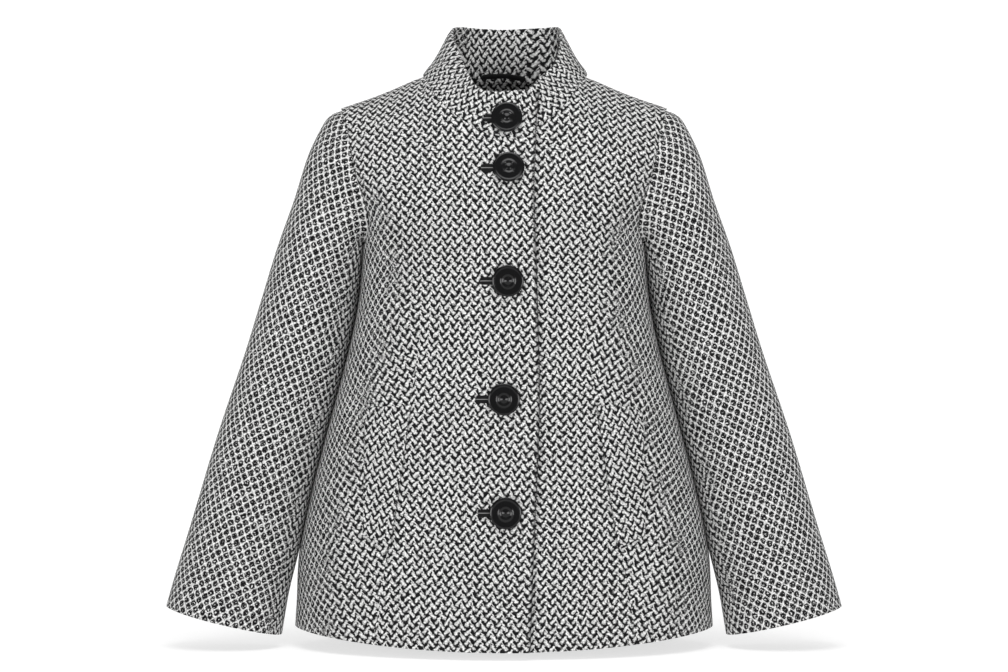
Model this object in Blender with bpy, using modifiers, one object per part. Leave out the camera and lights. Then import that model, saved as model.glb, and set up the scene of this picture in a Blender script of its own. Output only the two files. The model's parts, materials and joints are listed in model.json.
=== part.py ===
"""Short A-line tweed jacket with a stand collar, five buttons and two slanted welt pockets.

The jacket is filled out as it is worn, with nobody in it. The origin is the middle of the base of
the neck, +Z is up and the front faces -Y, so the wearer's right is at -X. Sizes are in millimetres
until the points of a piece are set.
"""

import math
from collections import namedtuple

import bmesh
import bpy
import numpy as np
from mathutils import Vector

MM = 0.001

# Cloth
WALL = 2.4
COLLAR_WALL = 3.6
COLLAR_HEIGHT = 60.0
COLLAR_LAP_RISE = 4.0
COLLAR_LAP_EASE = 6.5
WELT_WALL = 2.0
SEAM_GAP = 0.3

# Length of the body
HEM_HEIGHT = -669.0
HEM_SIDE_RISE = 16.0
UNDERARM = np.array([167.0, 0.0, -205.0])
SHOULDER_POINT = np.array([193.0, 4.0, -37.0])

# Neck and shoulder line
NECK_HALF_WIDTH = 95.0
NECK_SIDE_HEIGHT = 7.0
SHOULDER_ROUNDING = 40.0
NECK_CURVE = 1.55
# Lines of a front lean in towards the neck: the outer one by this much between chest and neck
NECK_LEAN = 38.0

# Front opening: the right front lies over the left one
LIFT_OVER = 2.6
LIFT_UNDER = 2.4
LIFT_FULL = 46.0
LIFT_NONE = 92.0
LAP_KEY = 0.4

# Rows and columns of the cloth
BODY_ROWS = 14
YOKE_ROWS = 12
LAP_COLUMNS = 2
NECK_COLUMNS = 6
SHOULDER_COLUMNS = 5
COLLAR_ROWS = 5

BodySection = namedtuple("BodySection", "height half_width front_depth back_depth")
BODY_SECTIONS = (
    BodySection(-669, 251, 155, 146),
    BodySection(-600, 246, 150, 141),
    BodySection(-530, 233, 145, 135),
    BodySection(-450, 214, 140, 127),
    BodySection(-370, 193, 136, 119),
    BodySection(-300, 176, 134, 114),
    BodySection(-250, 168, 133, 112),
    BodySection(-205, 167, 132, 111),
)

LapEdge = namedtuple("LapEdge", "height beyond_centre")
LAP_EDGE = (
    LapEdge(-669, 30),
    LapEdge(-560, 34),
    LapEdge(-380, 41),
    LapEdge(-245, 38),
    LapEdge(-120, 35),
    LapEdge(-20, 42),
)

Face = namedtuple("Face", "side depth profile armhole_reach neck_drop")
FRONT = Face(-1, "front_depth", 1.15, 64, 85)
BACK = Face(1, "back_depth", 0.75, 56, 1)
# The chest would be this much wider at half the height of the armhole if the cloth went on there
ARMHOLE_SPREAD = 19.0

SleeveSection = namedtuple(
    "SleeveSection", "along inner_x inner_z outer_x outer_z front_depth back_depth centre_y"
)
SLEEVE_SECTIONS = (
    SleeveSection(90, 175, -245, 258, -160, 63, 60, 2),
    SleeveSection(165, 181, -285, 290, -257, 61, 58, 3),
    SleeveSection(240, 197, -355, 310, -323, 59, 56, 2),
    SleeveSection(340, 223, -450, 342, -419, 57, 54, -3),
    SleeveSection(445, 246, -553, 372, -521, 56, 52, -10),
    SleeveSection(525, 258, -630, 393, -593, 56, 51, -17),
    SleeveSection(565, 264, -668, 403, -631, 56, 51, -20),
)
SLEEVE_ROWS = (6, 3, 3, 3, 3, 3, 2)

# Upper edge of the collar; key 0 is the centre front, 1 the shoulder seam, 2 the centre back
CollarTop = namedtuple("CollarTop", "key half_width depth height")
COLLAR_TOP = (
    CollarTop(0.0, 0, -90, -22),
    CollarTop(0.3, 28, -86, -20),
    CollarTop(0.55, 40, -66, -4),
    CollarTop(0.8, 50, -30, 22),
    CollarTop(1.0, 57, 5, 52),
    CollarTop(1.25, 57, 38, 66),
    CollarTop(1.6, 38, 65, 67),
    CollarTop(2.0, 0, 74, 66),
)

# Welts lie on the fronts; each row is a corner seen from the front
WeltCorner = namedtuple("WeltCorner", "place across height")
WELT_CORNERS = (
    WeltCorner("top inner", 107.0, -387.0),
    WeltCorner("top outer", 161.0, -391.0),
    WeltCorner("bottom inner", 131.0, -552.0),
    WeltCorner("bottom outer", 163.0, -538.0),
)
WELT_COLUMNS = 4
WELT_ROWS = 8

# Buttons from the collar down, and the bound buttonholes they are pushed through
ButtonPlace = namedtuple("ButtonPlace", "name across height")
BUTTON_PLACES = (
    ButtonPlace("1", 3.5, -54.0),
    ButtonPlace("2", 5.5, -114.0),
    ButtonPlace("3", 4.5, -244.0),
    ButtonPlace("4", 0.0, -380.0),
    ButtonPlace("5", 2.0, -510.0),
)
ButtonRing = namedtuple("ButtonRing", "place radius height")
BUTTON_PROFILE = (
    ButtonRing("middle of the well", 0.0, 2.6),
    ButtonRing("edge of the well", 6.4, 2.6),
    ButtonRing("inner ring", 7.6, 3.4),
    ButtonRing("dished face", 9.0, 3.0),
    ButtonRing("foot of the rim", 15.4, 3.4),
    ButtonRing("top of the rim", 17.0, 4.6),
    ButtonRing("outer edge", 18.25, 3.6),
    ButtonRing("lower edge", 17.4, 1.6),
    ButtonRing("underside", 6.0, 0.8),
    ButtonRing("shank", 5.0, 0.0),
    ButtonRing("middle of the shank", 0.0, 0.0),
)
BUTTON_STEPS = 20
HOLE_LENGTH = 42.0
HOLE_START = 32.0
HOLE_COLUMNS = 5
HoleRow = namedtuple("HoleRow", "place offset thickness")
HOLE_ROWS = (
    HoleRow("lower edge", -4.6, 0.6),
    HoleRow("lower lip", -2.4, 1.2),
    HoleRow("slit", 0.0, 0.5),
    HoleRow("upper lip", 2.4, 1.2),
    HoleRow("upper edge", 4.6, 0.6),
)

# Hanger loop, a flat tape on the inside of the collar at the back
# (reach is counted in columns of the collar, places along the reach, starts in parts of its height)
LOOP_REACH = 1.2
LOOP_COLUMNS = (-1.0, -1 / LOOP_REACH, -0.42, 0.0, 0.42, 1 / LOOP_REACH, 1.0)
LOOP_HEIGHT = 6.0
LOOP_WALL = 1.4
LOOP_START = 0.02
LOOP_ARCH = 0.03

Look = namedtuple("Look", "name colour roughness")
TWEED = Look("black and white tweed", (0.28, 0.28, 0.27, 1.0), 0.9)
BUTTON_BLACK = Look("glossy black button", (0.008, 0.008, 0.009, 1.0), 0.18)
BINDING_BLACK = Look("black binding", (0.010, 0.010, 0.011, 1.0), 0.55)


def unit(vector):
    return vector / np.linalg.norm(vector)


def hermite(start, start_pull, end, end_pull, part):
    """Smooth curve between two values or points that leaves and arrives along the given pulls."""
    square = part * part
    cube = square * part
    return (
        start * (2 * cube - 3 * square + 1)
        + start_pull * (cube - 2 * square + part)
        + end * (3 * square - 2 * cube)
        + end_pull * (cube - square)
    )


def follow(table, column, place):
    """A column of a table as a smooth curve along the table's first column."""
    keys = np.array([row[0] for row in table], dtype=float)
    values = np.array([getattr(row, column) for row in table], dtype=float)
    slopes = np.gradient(values, keys)
    place = min(max(place, keys[0]), keys[-1])
    k = min(max(int(np.searchsorted(keys, place)) - 1, 0), len(keys) - 2)
    span = keys[k + 1] - keys[k]
    part = (place - keys[k]) / span
    return hermite(values[k], slopes[k] * span, values[k + 1], slopes[k + 1] * span, part)


def armhole_reach(face, up):
    """How far the armhole's edge is in front of (or behind) the side seam, underarm to shoulder."""
    return face.armhole_reach * math.sqrt(max(0.0, 1 - (1 - 2 * up) ** 2)) * (1.15 - 0.3 * up)


def row_turn(face, up):
    """Angle through which a row of the yoke turns between the centre line and the armhole."""
    reach = armhole_reach(face, min(up, 0.5))
    return math.acos(reach / getattr(BODY_SECTIONS[-1], face.depth))


def armhole_edge(face, up):
    """Edge of the front or back at the armhole, from the underarm (0) to the shoulder (1)."""
    x, y, z = UNDERARM + (SHOULDER_POINT - UNDERARM) * np.array([up * up * (3 - 2 * up), up, up])
    x += ARMHOLE_SPREAD * math.sin(math.pi * up) ** 2
    reach = armhole_reach(face, up)
    x *= math.sqrt(1 - (reach / getattr(BODY_SECTIONS[-1], face.depth)) ** 2)
    return np.array([x, y + face.side * reach, z])


def shoulder_fall(across):
    """How far the shoulder line has fallen between the neck (0) and the shoulder point (1)."""
    width = SHOULDER_POINT[0]
    full = math.hypot(width, SHOULDER_ROUNDING) - SHOULDER_ROUNDING
    return (math.hypot(across * width, SHOULDER_ROUNDING) - SHOULDER_ROUNDING) / full


def body_point(face, across, up):
    """Point of the outside of the cloth.

    across is 0 at the centre line and 1 at the side seam or the armhole; up is -1 at the hem,
    0 at the underarm and 1 at the shoulder seam.
    """
    if up <= 0:
        level = HEM_HEIGHT + (UNDERARM[2] - HEM_HEIGHT) * (up + 1)
        angle = across * math.pi / 2
        rise = HEM_SIDE_RISE * math.sin(angle) ** 2 * -up
        return np.array([
            follow(BODY_SECTIONS, "half_width", level) * math.sin(angle),
            follow(BODY_SECTIONS, face.depth, level) * math.cos(angle) * face.side,
            level + rise,
        ])
    edge = armhole_edge(face, up)
    climb = math.pi / 2 * up ** 1.6
    chest = face.side * getattr(BODY_SECTIONS[-1], face.depth)
    fall = shoulder_fall(NECK_HALF_WIDTH / SHOULDER_POINT[0])
    top = NECK_SIDE_HEIGHT + (NECK_SIDE_HEIGHT - SHOULDER_POINT[2]) * fall / (1 - fall)
    centre_y = SHOULDER_POINT[1] + (chest - SHOULDER_POINT[1]) * math.cos(climb) ** face.profile
    centre_z = UNDERARM[2] + (top - UNDERARM[2]) * math.sin(climb) ** face.profile
    turn = row_turn(face, up)
    angle = across * turn
    x_part = math.sin(angle) / math.sin(turn)
    bend = (1 - math.cos(angle)) / (1 - math.cos(turn))
    drop = bend + (shoulder_fall(x_part) - bend) * up ** 2
    return np.array([
        edge[0] * x_part,
        centre_y + (edge[1] - centre_y) * bend,
        centre_z + (edge[2] - centre_z) * drop,
    ])


def body_normal(face, across, up):
    """Direction out of the cloth at a point of the body."""
    step = 0.001
    sideways = body_point(face, across + step, up) - body_point(face, across - step, up)
    if up < -0.5:
        upward = body_point(face, across, up + step) - body_point(face, across, up)
    else:
        upward = body_point(face, across, up) - body_point(face, across, up - step)
    return unit(np.cross(sideways, upward)) * -face.side


def across_at(face, x, up):
    """The place across a row at which the row is x from the centre line."""
    if up <= 0:
        level = HEM_HEIGHT + (UNDERARM[2] - HEM_HEIGHT) * (up + 1)
        return math.asin(x / follow(BODY_SECTIONS, "half_width", level)) / (math.pi / 2)
    turn = row_turn(face, up)
    return math.asin(x * math.sin(turn) / armhole_edge(face, up)[0]) / turn


def up_at(face, x, height):
    """The place up the body at which the line at x from the centre reaches a height."""
    low = -1.0
    high = 1.0
    for _ in range(40):
        middle = (low + high) / 2
        if body_point(face, across_at(face, x, middle), middle)[2] < height:
            low = middle
        else:
            high = middle
    return (low + high) / 2


def lap_lift(x, lift):
    """How far the cloth is moved out near the front opening; x is on the panel's own side."""
    part = min(max((LIFT_NONE - x) / (LIFT_NONE - LIFT_FULL), 0.0), 1.0)
    return lift * part * part * (3 - 2 * part)


def lifted_point(face, across, up, lift):
    """Point and outward direction of the body's cloth with its lift at the front opening."""
    point = body_point(face, across, up)
    normal = body_normal(face, across, up)
    return point + normal * lap_lift(point[0], lift), normal


def neck_place(key):
    """Place on the neckline: key -LAP_KEY is the front edge, 0 the centre, 2 the centre back."""
    if key < 0:
        face = FRONT
        x = key / LAP_KEY * follow(LAP_EDGE, "beyond_centre", -80)
        height = NECK_SIDE_HEIGHT - FRONT.neck_drop
    else:
        face = FRONT if key <= 1 else BACK
        part = math.sin(math.pi / 2 * min(key, 2 - key))
        x = NECK_HALF_WIDTH * part
        height = NECK_SIDE_HEIGHT - face.neck_drop * (1 - part ** NECK_CURVE) ** (1 / NECK_CURVE)
    up = 1.0 if abs(key - 1) < 1e-6 else up_at(face, x, height)
    return face, across_at(face, x, up), up


def yoke_steps():
    """Rows between the underarm and the shoulder, closer together at both ends."""
    for k in range(1, YOKE_ROWS + 1):
        yield k / YOKE_ROWS * 0.5 + (1 - math.cos(math.pi * k / YOKE_ROWS)) * 0.25


def body_levels():
    """Rows between the hem and the underarm."""
    return [-1 + row / BODY_ROWS for row in range(BODY_ROWS + 1)]


def lap_places(part):
    """Line of a front beyond the centre: part -1 is the front edge, 0 the centre."""
    neck_up = neck_place(part * LAP_KEY)[2]
    places = []
    for up in body_levels() + [neck_up * step for step in yoke_steps()]:
        edge = follow(LAP_EDGE, "beyond_centre", body_point(FRONT, 0.0, up)[2])
        places.append((across_at(FRONT, part * edge, up), up))
    return places


def neck_places(face, part):
    """Line of a front or back that ends on the neckline: part 1 ends at the side of the neck."""
    neck_up = neck_place(part if face is FRONT else 2 - part)[2]
    top = NECK_HALF_WIDTH * math.sin(math.pi / 2 * part)
    lean = NECK_LEAN * part * part if face is FRONT else 0.0
    start = across_at(face, top + lean, 0)
    places = [(start, up) for up in body_levels()]
    for step in yoke_steps():
        up = neck_up * step
        places.append((across_at(face, top + lean * (1 - step), up), up))
    return places


def shoulder_places(face, share):
    """Line of a front or back between the side of the neck (0) and the armhole (1)."""
    return [(across + (1 - across) * share, up) for across, up in neck_places(face, 1.0)]


def half_panel(face, lift):
    """Points and outward directions of half the front (with its lap) or half the back."""
    lines = []
    if face is FRONT:
        lines += [lap_places(-1 + k / LAP_COLUMNS) for k in range(LAP_COLUMNS)]
    lines += [neck_places(face, k / NECK_COLUMNS) for k in range(NECK_COLUMNS + 1)]
    for k in range(1, SHOULDER_COLUMNS + 1):
        lines.append(shoulder_places(face, k / SHOULDER_COLUMNS))
    found = [[lifted_point(face, across, up, lift) for across, up in line] for line in lines]
    points = np.array([[point for point, _ in line] for line in found])
    normals = np.array([[normal for _, normal in line] for line in found])
    points[-1, : BODY_ROWS + 1, 1] = face.side * SEAM_GAP / 2
    points[-SHOULDER_COLUMNS - 1 :, -1, 1] = SHOULDER_POINT[1] + face.side * SEAM_GAP / 2
    return points, normals


def mirrored(points):
    return points * np.array([-1.0, 1.0, 1.0])


def armhole_ring():
    """Points round the armhole with the cloth's outward direction, from the underarm forwards."""
    turns = [0.0] + list(yoke_steps())
    places = [(FRONT, up) for up in turns] + [(BACK, up) for up in turns[-2:0:-1]]
    points = np.array([armhole_edge(face, up) for face, up in places])
    normals = np.array([body_normal(face, 1.0, up) for face, up in places])
    return points, normals


def sleeve_ring(section, count):
    """Points round one section of the sleeve, from its inner side forwards."""
    inner = np.array([section.inner_x, section.centre_y, section.inner_z], dtype=float)
    outer = np.array([section.outer_x, section.centre_y, section.outer_z], dtype=float)
    centre = (inner + outer) / 2
    ring = []
    for k in range(count):
        angle = 2 * math.pi * k / count
        depth = section.front_depth if math.sin(angle) > 0 else section.back_depth
        forward = np.array([0.0, -depth * math.sin(angle), 0.0])
        ring.append(centre + (inner - centre) * math.cos(angle) + forward)
    return np.array(ring)


def sleeve_grid():
    """Outer and inner points of the sleeve on the +X side, a ring for each row."""
    edge, edge_normals = armhole_ring()
    count = len(edge)
    round_edge = np.roll(edge, -1, axis=0) - np.roll(edge, 1, axis=0)
    away = np.array([unit(np.cross(e, n)) for e, n in zip(round_edge, edge_normals)])
    start = edge + away * SEAM_GAP
    knots = np.array([start] + [sleeve_ring(section, count) for section in SLEEVE_SECTIONS])
    keys = np.array([0.0] + [section.along for section in SLEEVE_SECTIONS])
    slopes = np.gradient(knots, keys, axis=0)
    outward = np.array([1.0, 0.0, 0.0])
    for k in range(count):
        speed = max(np.linalg.norm(knots[1, k] - knots[0, k]) / keys[1], 0.5)
        slopes[0, k] = unit(away[k] + outward * 0.7) * speed

    def ring_at(span, part):
        length = keys[span + 1] - keys[span]
        return hermite(
            knots[span], slopes[span] * length, knots[span + 1], slopes[span + 1] * length, part
        )

    outer = [start]
    inner = [start - edge_normals * WALL]
    for span, rows in enumerate(SLEEVE_ROWS):
        for row in range(1, rows + 1):
            part = row / rows
            ring = ring_at(span, part)
            along = ring_at(span, part) - ring_at(span, part - 0.01)
            around = np.roll(ring, -1, axis=0) - np.roll(ring, 1, axis=0)
            normals = np.array([unit(np.cross(a, r)) for r, a in zip(around, along)])
            outer.append(ring)
            inner.append(ring - normals * WALL)
    return np.swapaxes(outer, 0, 1), np.swapaxes(inner, 0, 1)


def top_key(x):
    """Place on the collar's upper edge, at the front, that is x from the centre."""
    low = 0.0
    high = 1.0
    for _ in range(30):
        middle = (low + high) / 2
        if follow(COLLAR_TOP, "half_width", middle) < x:
            low = middle
        else:
            high = middle
    return low


def collar_top(key, lift):
    """Upper edge of the collar above a place on the neckline.

    Beyond the centre the lap keeps to the curve of the collar's other end, which it lies on.
    """
    if key >= 0:
        x = follow(COLLAR_TOP, "half_width", key)
        depth = follow(COLLAR_TOP, "depth", key)
        height = follow(COLLAR_TOP, "height", key)
    else:
        x = key / LAP_KEY * follow(LAP_EDGE, "beyond_centre", -20)
        twin = top_key(-x)
        foot_key = math.asin(-x / NECK_HALF_WIDTH) / (math.pi / 2)
        foot = body_point(*neck_place(foot_key))
        height = COLLAR_TOP[0].height - COLLAR_LAP_RISE * key / LAP_KEY
        share = (height - foot[2]) / (follow(COLLAR_TOP, "height", twin) - foot[2])
        depth = foot[1] + (follow(COLLAR_TOP, "depth", twin) - foot[1]) * share
        depth += math.copysign(COLLAR_LAP_EASE, lift) * key / LAP_KEY
    return np.array([x, depth - lap_lift(x, lift) * (key < 1), height])


def collar_foot(key, lift):
    """Lower edge of the collar, the cloth's outward direction and the way up the body there."""
    face, across, up = neck_place(key)
    point, normal = lifted_point(face, across, up, lift)
    step = 0.002
    before = neck_place(max(key - step, -LAP_KEY))
    after = neck_place(min(key + step, 2.0))
    edge = lifted_point(*after, lift)[0] - lifted_point(*before, lift)[0]
    away = unit(np.cross(normal, edge))
    return point + away * SEAM_GAP, normal, away


def collar_point(key, height_part, lift):
    """Point of the outside of the collar on the +X side, from its foot (0) to its top (1)."""
    foot, _, away = collar_foot(key, lift)
    top = collar_top(key, lift)
    lean = top - foot
    pull = (away * 0.5 + unit(lean) * 0.5) * np.linalg.norm(lean)
    return hermite(foot, pull, top, lean, height_part)


def collar_normal(key, height_part, lift):
    """Direction out of the collar's cloth."""
    step = 0.01
    low = max(key - step, -LAP_KEY)
    high = min(key + step, 2.0)
    around = collar_point(high, height_part, lift) - collar_point(low, height_part, lift)
    above = min(height_part + step, 1.0)
    upward = collar_point(key, above, lift) - collar_point(key, above - step, lift)
    return unit(np.cross(around, upward))


def collar_half(lift):
    """Outer and inner points of half the collar, from its front edge to the centre back."""
    keys = [-LAP_KEY * (1 - k / LAP_COLUMNS) for k in range(LAP_COLUMNS)]
    keys += [k / NECK_COLUMNS for k in range(NECK_COLUMNS * 2 + 1)]
    outer = []
    inner = []
    for key in keys:
        points = [collar_point(key, k / COLLAR_ROWS, lift) for k in range(COLLAR_ROWS + 1)]
        normals = [collar_foot(key, lift)[1]]
        normals += [collar_normal(key, k / COLLAR_ROWS, lift) for k in range(1, COLLAR_ROWS + 1)]
        outer.append(points)
        inner.append(np.array(points) - np.array(normals) * COLLAR_WALL)
    return np.array(outer), np.array(inner)


def make_look(look):
    material = bpy.data.materials.new(look.name)
    material.use_nodes = True
    shader = material.node_tree.nodes["Principled BSDF"]
    shader.inputs["Base Color"].default_value = look.colour
    shader.inputs["Roughness"].default_value = look.roughness
    shader.inputs["Metallic"].default_value = 0.0
    return material


def add_object(name, mesh, material):
    obj = bpy.data.objects.new(name, mesh)
    obj.data.materials.append(material)
    jacket.objects.link(obj)
    return obj


def add_wall(name, outer, inner, material, ring=False):
    """A closed wall lofted between an outer and an inner sheet of points, column by column."""
    bm = bmesh.new()
    sheets = [
        [[bm.verts.new(Vector(point) * MM) for point in column] for column in sheet]
        for sheet in (outer, inner)
    ]
    columns = len(outer)
    rows = len(outer[0])
    pairs = [(i, (i + 1) % columns) for i in range(columns if ring else columns - 1)]
    for sheet in sheets:
        for left, right in pairs:
            for row in range(rows - 1):
                bm.faces.new((
                    sheet[left][row], sheet[right][row],
                    sheet[right][row + 1], sheet[left][row + 1],
                ))
    over, under = sheets
    for left, right in pairs:
        for row in (0, rows - 1):
            bm.faces.new((over[left][row], over[right][row], under[right][row], under[left][row]))
    if not ring:
        for column in (0, columns - 1):
            for row in range(rows - 1):
                bm.faces.new((
                    over[column][row], over[column][row + 1],
                    under[column][row + 1], under[column][row],
                ))
    bmesh.ops.recalc_face_normals(bm, faces=bm.faces)
    mesh = bpy.data.meshes.new(name)
    bm.to_mesh(mesh)
    bm.free()
    return add_object(name, mesh, material)


def add_body(material):
    """The two fronts and the back."""
    points, normals = half_panel(FRONT, LIFT_OVER)
    add_wall("front_right", mirrored(points), mirrored(points - normals * WALL), material)
    points, normals = half_panel(FRONT, -LIFT_UNDER)
    add_wall("front_left", points, points - normals * WALL, material)
    points, normals = half_panel(BACK, 0.0)
    inside = points - normals * WALL
    whole = np.concatenate([mirrored(points)[:0:-1], points])
    whole_inside = np.concatenate([mirrored(inside)[:0:-1], inside])
    add_wall("back", whole, whole_inside, material)


def add_sleeves(material):
    outer, inner = sleeve_grid()
    add_wall("sleeve_left", outer, inner, material, ring=True)
    add_wall("sleeve_right", mirrored(outer), mirrored(inner), material, ring=True)


def add_collar(material):
    outer, inner = collar_half(LIFT_OVER)
    under_outer, under_inner = collar_half(-LIFT_UNDER)
    whole = np.concatenate([mirrored(outer), under_outer[-2::-1]])
    whole_inside = np.concatenate([mirrored(inner), under_inner[-2::-1]])
    add_wall("collar", whole, whole_inside, material)
    return whole, whole_inside


def add_welts(material):
    """Welts over the darts, made from the points of the fronts below them, moved out."""
    corner = {row.place: np.array([row.across, row.height]) for row in WELT_CORNERS}
    columns = []
    for i in range(WELT_COLUMNS + 1):
        part = i / WELT_COLUMNS
        low = corner["bottom inner"] * (1 - part) + corner["bottom outer"] * part
        high = corner["top inner"] * (1 - part) + corner["top outer"] * part
        column = []
        for j in range(WELT_ROWS + 1):
            x, height = low + (high - low) * j / WELT_ROWS
            up = up_at(FRONT, x, height)
            column.append((across_at(FRONT, x, up), up))
        columns.append(column)
    for name, lift in (("pocket_welt_right", LIFT_OVER), ("pocket_welt_left", -LIFT_UNDER)):
        found = [[lifted_point(FRONT, a, up, lift) for a, up in column] for column in columns]
        points = np.array([[point for point, _ in column] for column in found])
        normals = np.array([[normal for _, normal in column] for column in found])
        inner = points + normals * SEAM_GAP
        outer = inner + normals * WELT_WALL
        if lift > 0:
            outer = mirrored(outer)
            inner = mirrored(inner)
        add_wall(name, outer, inner, material)


def front_opening_point(across, height):
    """Point and outward direction of the over-lapping front or collar, seen from the front.

    across is measured towards the wearer's left, so the front edge is at a positive value.
    """
    foot = NECK_SIDE_HEIGHT - FRONT.neck_drop
    if height > foot + 4:
        key = -across / follow(LAP_EDGE, "beyond_centre", -50) * LAP_KEY
        if across < 0:
            key = math.asin(-across / NECK_HALF_WIDTH) / (math.pi / 2)
        low = 0.0
        high = 1.0
        for _ in range(30):
            middle = (low + high) / 2
            if collar_point(key, middle, LIFT_OVER)[2] < height:
                low = middle
            else:
                high = middle
        point = collar_point(key, low, LIFT_OVER)
        normal = collar_normal(key, low, LIFT_OVER)
    else:
        up = up_at(FRONT, -across, height)
        point, normal = lifted_point(FRONT, across_at(FRONT, -across, up), up, LIFT_OVER)
    return mirrored(point), mirrored(normal)


def add_buttons(material):
    """Buttons turned from one profile, each on the cloth at its buttonhole."""
    for place in BUTTON_PLACES:
        name = "button_" + place.name
        mesh = bpy.data.meshes.new(name)
        rim = [(ring.radius * MM, 0.0, ring.height * MM) for ring in BUTTON_PROFILE]
        mesh.from_pydata(rim, [(k, k + 1) for k in range(len(rim) - 1)], [])
        obj = add_object(name, mesh, material)
        turn = obj.modifiers.new("turn", "SCREW")
        turn.steps = BUTTON_STEPS
        turn.render_steps = BUTTON_STEPS
        turn.use_merge_vertices = True
        turn.merge_threshold = 0.00001
        point, normal = front_opening_point(place.across, place.height)
        thickest = max(row.thickness for row in HOLE_ROWS)
        seat = point + normal * (SEAM_GAP * 2 + thickest)
        obj.rotation_mode = "QUATERNION"
        obj.rotation_quaternion = Vector(normal).to_track_quat("Z", "Y")
        obj.location = Vector(seat) * MM


def add_buttonholes(material):
    """Two bound lips for each button, made from the points of the cloth, moved out."""
    for place in BUTTON_PLACES:
        outer = []
        inner = []
        for k in range(HOLE_COLUMNS + 1):
            across = place.across - HOLE_START + HOLE_LENGTH * k / HOLE_COLUMNS
            found = [
                (row, front_opening_point(across, place.height + row.offset)) for row in HOLE_ROWS
            ]
            inner.append([point + normal * SEAM_GAP for _, (point, normal) in found])
            outer.append(
                [point + normal * (SEAM_GAP + row.thickness) for row, (point, normal) in found]
            )
        add_wall("buttonhole_" + place.name, outer, inner, material)


def sheet_point(sheet, column, row):
    """Point of a sheet between its columns and rows."""
    i = min(int(column), len(sheet) - 2)
    j = min(int(row), len(sheet[0]) - 2)
    a = column - i
    b = row - j
    near = sheet[i][j] * (1 - b) + sheet[i][j + 1] * b
    far = sheet[i + 1][j] * (1 - b) + sheet[i + 1][j + 1] * b
    return near * (1 - a) + far * a


def add_hanger_loop(collar_outer, collar_inner, material):
    """Tape at the back of the neck, made from the inside points of the collar, moved in."""
    centre = (len(collar_inner) - 1) / 2
    rise = LOOP_HEIGHT / COLLAR_HEIGHT * COLLAR_ROWS
    outer = []
    inner = []
    for place in LOOP_COLUMNS:
        low = (LOOP_START + LOOP_ARCH * (1 - place * place)) * COLLAR_ROWS
        near = []
        for row in (low, low + rise):
            inside = sheet_point(collar_inner, centre + place * LOOP_REACH, row)
            away = inside - sheet_point(collar_outer, centre + place * LOOP_REACH, row)
            near.append((inside, unit(away)))
        outer.append([point + away * SEAM_GAP for point, away in near])
        inner.append([point + away * (SEAM_GAP + LOOP_WALL) for point, away in near])
    add_wall("hanger_loop", outer, inner, material)


for old in list(bpy.data.objects):
    bpy.data.objects.remove(old, do_unlink=True)

jacket = bpy.data.collections.new("tweed jacket")
bpy.context.scene.collection.children.link(jacket)

tweed = make_look(TWEED)
button_black = make_look(BUTTON_BLACK)
binding_black = make_look(BINDING_BLACK)

add_body(tweed)
add_sleeves(tweed)
collar_sheets = add_collar(tweed)
add_welts(tweed)
add_buttons(button_black)
add_buttonholes(binding_black)
add_hanger_loop(*collar_sheets, binding_black)
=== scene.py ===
"""Finish of a short tweed jacket: its woven cloth, buttons, bindings and the stage it is shown on.

The file is laid out as an add-on and is run as a script. Every piece is in metres, in the frame of
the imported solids: +Z is up, the front faces -Y and the wearer's right is at -X.
"""

import json
import math
from collections import namedtuple

import bmesh
import bpy
import numpy as np
from mathutils import Matrix, Vector
from mathutils.bvhtree import BVHTree
from mathutils.kdtree import KDTree

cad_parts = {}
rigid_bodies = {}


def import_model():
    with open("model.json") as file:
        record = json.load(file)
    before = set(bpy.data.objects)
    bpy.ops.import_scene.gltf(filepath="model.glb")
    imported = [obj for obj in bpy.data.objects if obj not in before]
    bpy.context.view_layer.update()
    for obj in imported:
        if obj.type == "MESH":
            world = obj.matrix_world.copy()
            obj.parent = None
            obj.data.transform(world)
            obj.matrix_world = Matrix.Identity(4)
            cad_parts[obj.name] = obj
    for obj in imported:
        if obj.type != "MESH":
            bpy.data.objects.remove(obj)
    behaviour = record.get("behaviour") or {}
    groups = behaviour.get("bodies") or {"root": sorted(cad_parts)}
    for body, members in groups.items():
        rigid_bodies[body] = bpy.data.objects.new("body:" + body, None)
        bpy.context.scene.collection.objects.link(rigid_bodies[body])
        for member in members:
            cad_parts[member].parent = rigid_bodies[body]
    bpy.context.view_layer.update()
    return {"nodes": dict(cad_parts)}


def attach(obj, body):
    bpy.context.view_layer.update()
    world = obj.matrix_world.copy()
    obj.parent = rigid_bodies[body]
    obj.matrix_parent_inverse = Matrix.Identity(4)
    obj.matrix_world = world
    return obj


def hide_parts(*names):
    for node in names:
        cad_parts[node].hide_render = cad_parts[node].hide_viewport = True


bl_info = {
    "name": "Tweed jacket",
    "version": (1, 0, 0),
    "blender": (4, 5, 0),
    "location": "3D View > Sidebar > Jacket",
    "description": "Dresses the solids of a short tweed jacket and sets up the stage",
    "category": "Object",
}

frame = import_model()

MM = 0.001

# Points nearer than this are one point, and a mesh is made smooth by this many subdivisions
MERGE = 0.00001
SMOOTH_LEVELS = 2

# A rim of a cloth solid is wider than the first, and its two faces are nearer than the second
THINNEST = 0.00235
THICKEST = 0.006

# Cosines: a face looks away from the one behind it, and the first face of a sheet looks outward
AWAY = -0.7
OUTWARD = 0.8

# Depth past which the chest bulges, and the share of the bulge from which the weave is laid flat
CHEST_DEPTH = -0.085
CHEST_EASE = 0.4

# How many points round its place are used to find the grain of a piece
GRAIN_POINTS = 600

# Pieces that are sewn to each other
CLOTH_NODES = ("front_left", "front_right", "back", "sleeve_left", "sleeve_right", "collar")

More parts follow.
